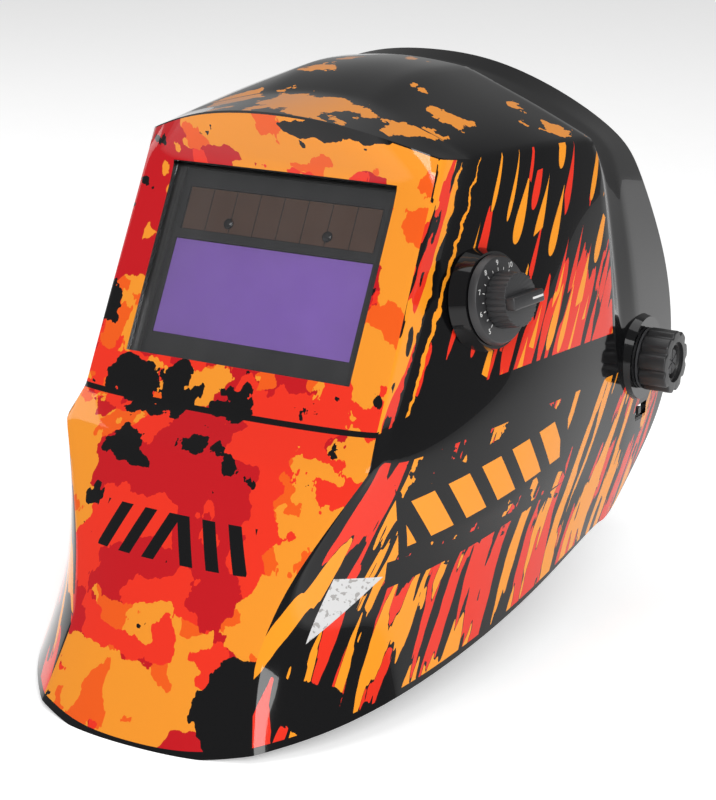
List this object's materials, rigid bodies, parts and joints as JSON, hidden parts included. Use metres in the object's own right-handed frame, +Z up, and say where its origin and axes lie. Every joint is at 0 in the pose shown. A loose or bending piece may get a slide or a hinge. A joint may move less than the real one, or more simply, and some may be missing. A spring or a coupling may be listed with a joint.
{
  "type": "welding helmet",
  "caption": "Auto-darkening welding helmet: angular moulded shell, tilted lens window with filter cartridge, side shade dial, and ratchet headgear folded inside on side pivots.",
  "frame": {"origin": "centre of the helmet's box, at the floor under the chin rim", "axes": "-Y towards the front of the mask, +X towards the wearer's left, +Z up"},
  "size_m": [0.256, 0.342, 0.2447],
  "materials": {
    "shell_nylon": "moulded nylon, painted in orange, red and black, glossy",
    "black_plastic": "moulded, satin",
    "steel": "zinc plated",
    "brass": "turned",
    "cover_lens": "clear polycarbonate",
    "filter_glass": "violet filter glass, mirror coated",
    "solar_cells": "dark cells under glass",
    "sensor_lens": "glossy dome",
    "gasket_rubber": "soft, matte",
    "circuit_board": "solder mask",
    "sweatband_fabric": "padded terry cloth",
    "pad_fabric": "padded cloth"
  },
  "bodies": {
    "shell": {"shell": "shell_nylon", "lens_holder": "black_plastic", "outer_cover_lens": "cover_lens", "lens_gasket": "gasket_rubber", "cartridge_front": "black_plastic", "cartridge_back": "black_plastic", "filter_glass": "filter_glass", "solar_panel": "solar_cells", "arc_sensor_left": "sensor_lens", "arc_sensor_right": "sensor_lens", "circuit_board": "circuit_board", "battery_tray": "black_plastic", "battery_cell": "steel", "inner_cover_lens": "cover_lens", "holder_screw_1": "steel", "holder_screw_2": "steel", "holder_screw_3": "steel", "holder_screw_4": "steel", "bail_lug_left": "steel", "bail_lug_right": "steel", "shade_dial_plate": "black_plastic", "shade_pot_body": "black_plastic", "shade_cable": "gasket_rubber", "outer_washer_left": "black_plastic", "outer_washer_right": "black_plastic", "inner_washer_left": "black_plastic", "inner_washer_right": "black_plastic"},
    "shade_knob": {"shade_knob": "black_plastic", "shade_pot_spindle": "brass"},
    "headgear": {"headband_front": "black_plastic", "sweatband": "sweatband_fabric", "side_plate_left": "black_plastic", "side_plate_right": "black_plastic", "crown_strap_left": "black_plastic", "crown_strap_right": "black_plastic", "pivot_bolt_left": "steel", "pivot_bolt_right": "steel"},
    "tension_knob_left": {"tension_knob_left": "black_plastic"},
    "tension_knob_right": {"tension_knob_right": "black_plastic"},
    "nape": {"back_band_left": "black_plastic", "back_band_right": "black_plastic", "ratchet_housing": "black_plastic", "nape_pad": "pad_fabric"},
    "ratchet_knob": {"ratchet_knob": "black_plastic", "ratchet_pinion": "black_plastic"},
    "tilt_lever": {"tilt_lever": "black_plastic"},
    "sensitivity_knob": {"sensitivity_knob": "black_plastic"},
    "delay_knob": {"delay_knob": "black_plastic"},
    "mode_switch": {"mode_switch": "black_plastic"},
    "retaining_bail": {"retaining_bail": "steel"}
  },
  "joints": [
    {"name": "headgear_tilt", "type": "hinge", "parent": "shell", "child": "headgear", "pos_m": [0.112, 0.08261, 0.1105], "axis": [1, 0, 0], "range_deg": [-32, 38]},
    {"name": "shade_turn", "type": "hinge", "parent": "shell", "child": "shade_knob", "pos_m": [0.0885, -0.03089, 0.1615], "axis": [0.9686, -0.1706, 0.1807], "range_deg": [-120, 150]},
    {"name": "tension_turn_left", "type": "hinge", "parent": "headgear", "child": "tension_knob_left", "pos_m": [0.118, 0.08261, 0.1105], "axis": [1, 0, 0], "range_deg": [0, 360]},
    {"name": "tension_turn_right", "type": "hinge", "parent": "headgear", "child": "tension_knob_right", "pos_m": [-0.118, 0.08261, 0.1105], "axis": [-1, 0, 0], "range_deg": [0, 360]},
    {"name": "nape_slide", "type": "slide", "parent": "headgear", "child": "nape", "axis": [0, 0.8172, -0.5763], "range_m": [-0.0078, 0.0078]},
    {"name": "ratchet_turn", "type": "hinge", "parent": "nape", "child": "ratchet_knob", "pos_m": [0, 0.14589, 0.02672], "axis": [0, 0.8172, -0.5763], "range_deg": [-90, 90]},
    {"name": "tilt_stop", "type": "hinge", "parent": "shell", "child": "tilt_lever", "pos_m": [0.112, 0.08261, 0.1105], "axis": [1, 0, 0], "range_deg": [-6, 6]},
    {"name": "sensitivity_turn", "type": "hinge", "parent": "shell", "child": "sensitivity_knob", "pos_m": [-0.03, -0.04029, 0.18851], "axis": [0, 0.8752, -0.4837], "range_deg": [0, 270]},
    {"name": "delay_turn", "type": "hinge", "parent": "shell", "child": "delay_knob", "pos_m": [0.03, -0.04029, 0.18851], "axis": [0, 0.8752, -0.4837], "range_deg": [0, 270]},
    {"name": "mode_slide", "type": "slide", "parent": "shell", "child": "mode_switch", "axis": [1, 0, 0], "range_m": [0, 0.004]},
    {"name": "bail_swing", "type": "hinge", "parent": "shell", "child": "retaining_bail", "pos_m": [0, -0.07073, 0.1233], "axis": [-1, 0, 0], "range_deg": [0, 75]}
  ],
  "couplings": [
    {"joint": "ratchet_turn", "follows": "nape_slide", "rad_per_m": 200}
  ]
}
